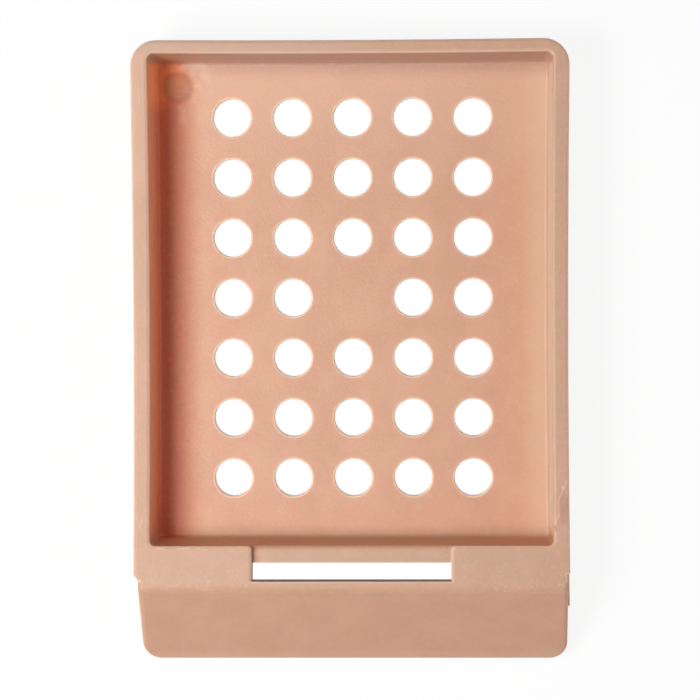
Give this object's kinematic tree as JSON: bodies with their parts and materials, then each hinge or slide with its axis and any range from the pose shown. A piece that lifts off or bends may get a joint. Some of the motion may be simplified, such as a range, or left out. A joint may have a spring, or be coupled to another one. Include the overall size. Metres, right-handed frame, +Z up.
{
  "type": "tissue cassette",
  "caption": "Shallow rectangular tray in one plastic moulding, with a perforated floor, a shelf slotted for a lid's tongue and a sloping writing face at the front.",
  "frame": {"origin": "under the middle of the moulding, on the plane that it stands on", "axes": "+X across the tray to the right, +Y from the writing face to the back wall, +Z up out of the open side"},
  "size_m": [0.0286, 0.041, 0.006],
  "materials": {
    "acetal": "satin peach acetal with a fine mould texture"
  },
  "bodies": {
    "root": {"cassette_body": "acetal"}
  },
  "joints": []
}
